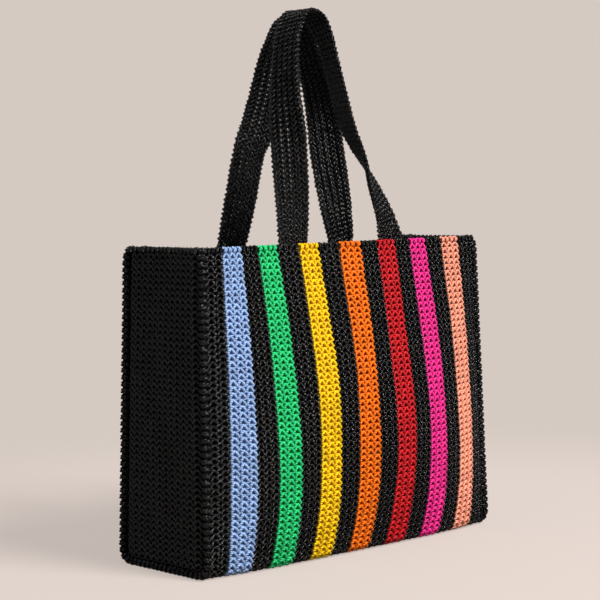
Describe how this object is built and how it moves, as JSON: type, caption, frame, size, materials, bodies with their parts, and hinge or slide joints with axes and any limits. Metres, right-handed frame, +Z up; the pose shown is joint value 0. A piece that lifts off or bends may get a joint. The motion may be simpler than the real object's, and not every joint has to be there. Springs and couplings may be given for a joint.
{
  "type": "crocheted tote bag",
  "caption": "Rectangular free-standing crocheted tote bag in black yarn with upright coloured stripes, an open top and two flat crocheted shoulder handles.",
  "frame": {"origin": "on the floor under the middle of the base", "axes": "+Z up, +X along the front to the viewer's right, front panel towards -Y, gussets at -X and +X"},
  "size_m": [0.4018, 0.182, 0.5493],
  "materials": {
    "black_yarn": "satin twisted cord, crocheted",
    "blue_yarn": "satin twisted cord, crocheted",
    "green_yarn": "satin twisted cord, crocheted",
    "yellow_yarn": "satin twisted cord, crocheted",
    "orange_yarn": "satin twisted cord, crocheted",
    "red_yarn": "satin twisted cord, crocheted",
    "pink_yarn": "satin twisted cord, crocheted",
    "salmon_yarn": "satin twisted cord, crocheted"
  },
  "bodies": {
    "root": {"black_band_1": "black_yarn", "black_band_2": "black_yarn", "black_band_3": "black_yarn", "black_band_4": "black_yarn", "black_band_5": "black_yarn", "black_band_6": "black_yarn", "black_band_7": "black_yarn", "black_band_8": "black_yarn", "blue_band": "blue_yarn", "green_band": "green_yarn", "yellow_band": "yellow_yarn", "orange_band": "orange_yarn", "red_band": "red_yarn", "pink_band": "pink_yarn", "salmon_band": "salmon_yarn", "left_gusset": "black_yarn", "right_gusset": "black_yarn", "left_joining_row": "black_yarn", "right_joining_row": "black_yarn", "front_handle": "black_yarn", "back_handle": "black_yarn", "front_handle_left_sewing": "black_yarn", "front_handle_right_sewing": "black_yarn", "back_handle_left_sewing": "black_yarn", "back_handle_right_sewing": "black_yarn"}
  },
  "joints": []
}
